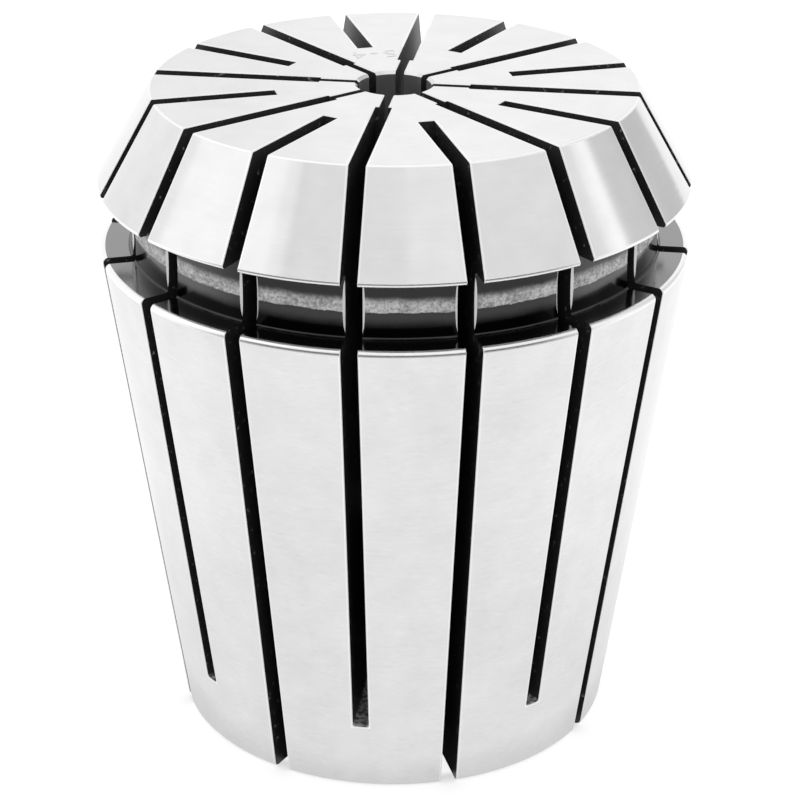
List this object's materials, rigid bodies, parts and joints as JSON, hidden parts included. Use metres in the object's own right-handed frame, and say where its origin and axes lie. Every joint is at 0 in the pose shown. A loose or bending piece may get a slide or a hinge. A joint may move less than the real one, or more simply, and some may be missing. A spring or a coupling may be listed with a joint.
{
  "type": "er collet",
  "caption": "Slotted steel spring collet: a tapered sleeve with a coned head, a ring groove below the head and a small bore.",
  "frame": {"origin": "centre of the small end's flat face, where the bore axis meets it", "axes": "+Z along the bore axis, from the small end to the head's face; a face slot lies on each of X and Y"},
  "size_m": [0.0404, 0.0404, 0.046],
  "materials": {
    "ground_steel": "fine ground and bright"
  },
  "bodies": {
    "root": {"collet_body": "ground_steel"}
  },
  "joints": []
}
